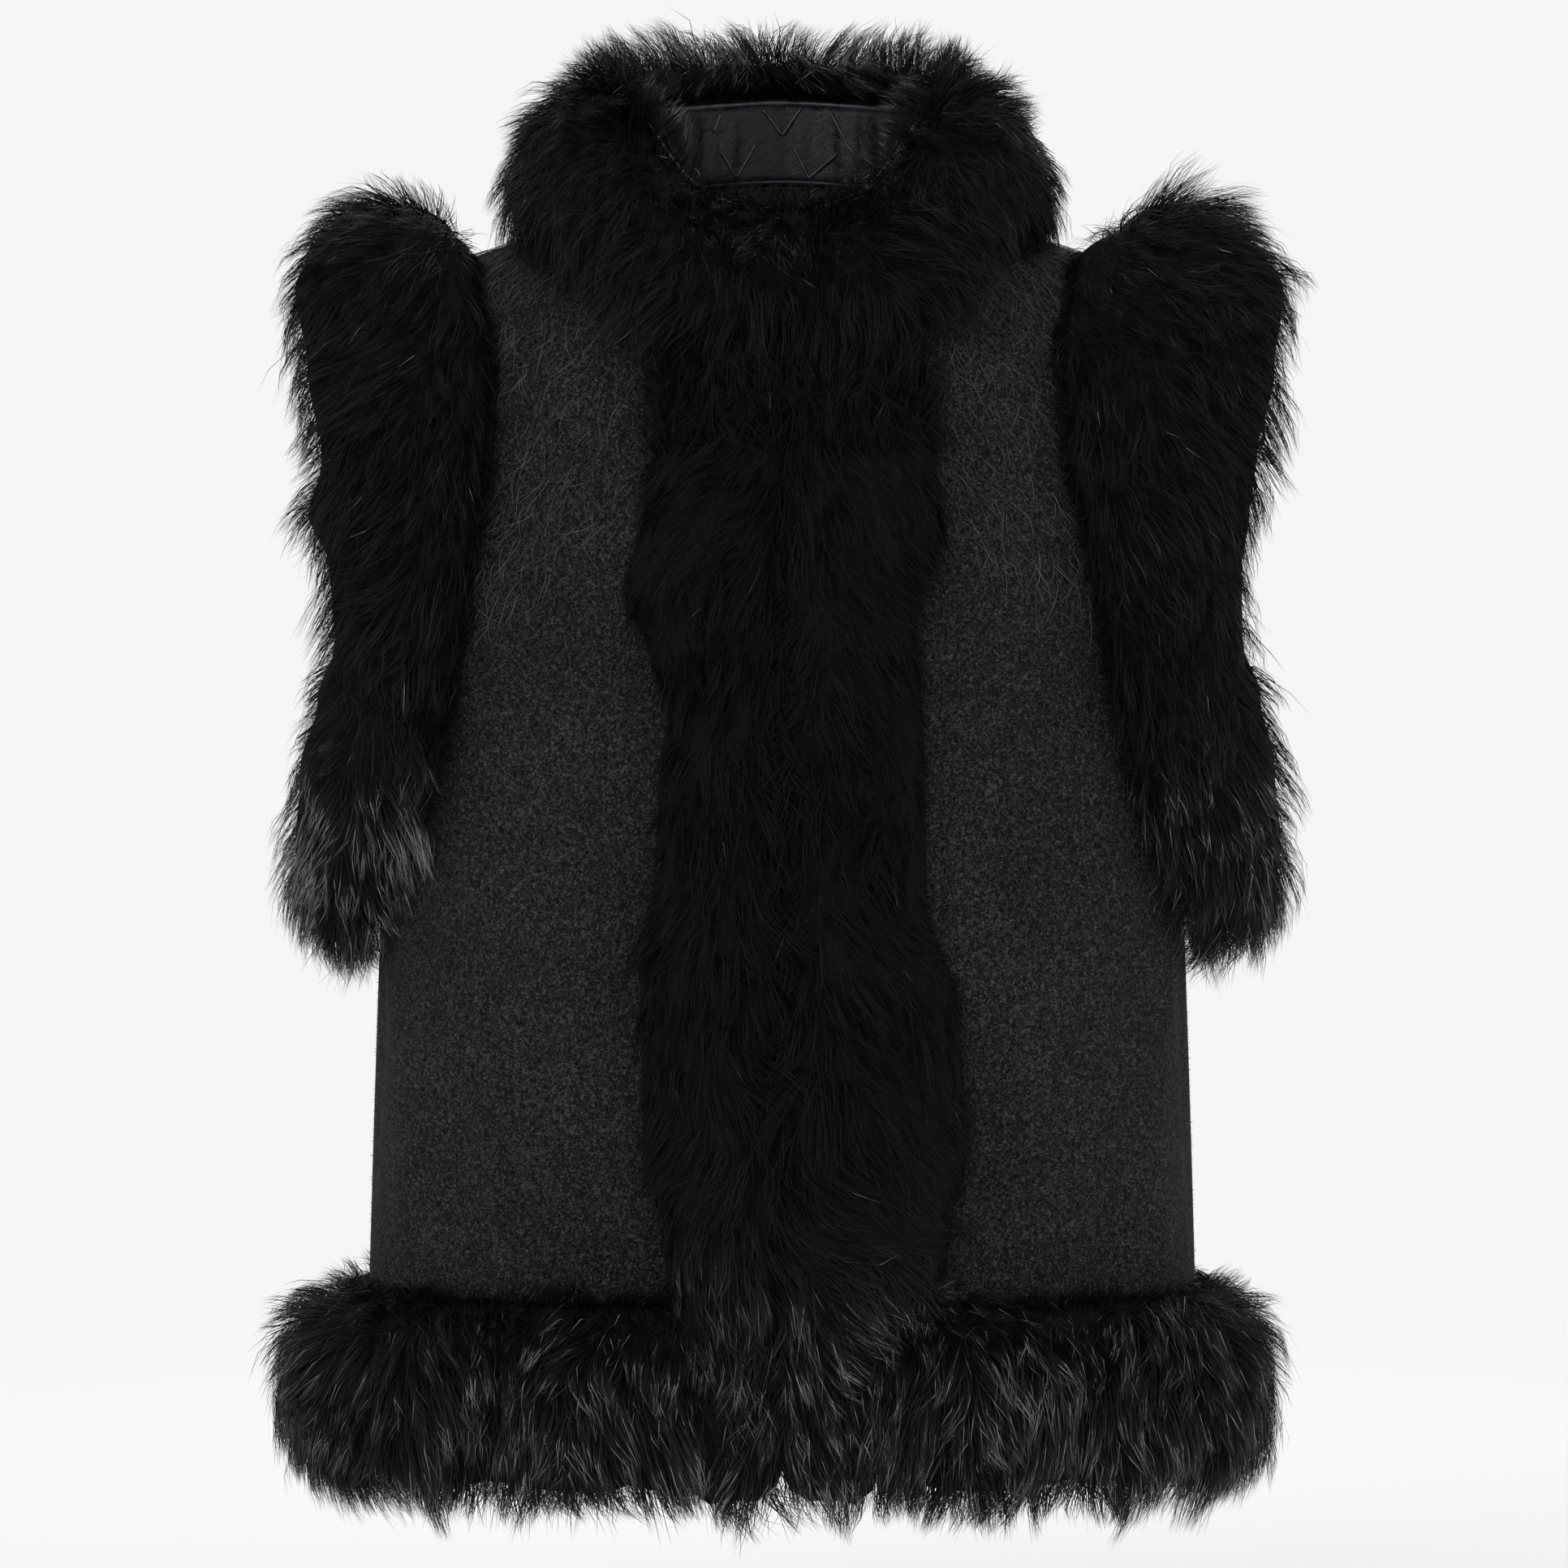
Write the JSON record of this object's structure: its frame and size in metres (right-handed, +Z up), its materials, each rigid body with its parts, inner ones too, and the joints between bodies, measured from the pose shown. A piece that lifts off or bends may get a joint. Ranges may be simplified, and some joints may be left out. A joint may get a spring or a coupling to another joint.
{
  "type": "fur-trimmed vest",
  "caption": "Sleeveless open-front wool vest with long fur round the collar, front edges, armholes and hem, filled out as worn.",
  "frame": {"origin": "midway between the two shoulder seams' ends, where the garment rests on the wearer's shoulders", "axes": "+Z up from hem to collar, +X towards the wearer's left armhole, +Y towards the back; the open front faces -Y"},
  "size_m": [0.5839, 0.3446, 0.8338],
  "materials": {
    "wool": "black fuzzy wool cloth",
    "fur": "long glossy black fur",
    "leather": "smooth semi-gloss black"
  },
  "bodies": {
    "root": {"front_right": "wool", "hem_fur_front_right": "fur", "back_right": "wool", "hem_fur_back_right": "fur", "front_fur_right": "fur", "armhole_fur_underarm_right": "fur", "armhole_fur_front_right": "fur", "armhole_fur_back_right": "fur", "front_left": "wool", "hem_fur_front_left": "fur", "back_left": "wool", "hem_fur_back_left": "fur", "front_fur_left": "fur", "armhole_fur_underarm_left": "fur", "armhole_fur_front_left": "fur", "armhole_fur_back_left": "fur", "collar_band": "leather", "collar_fur": "fur"}
  },
  "joints": []
}
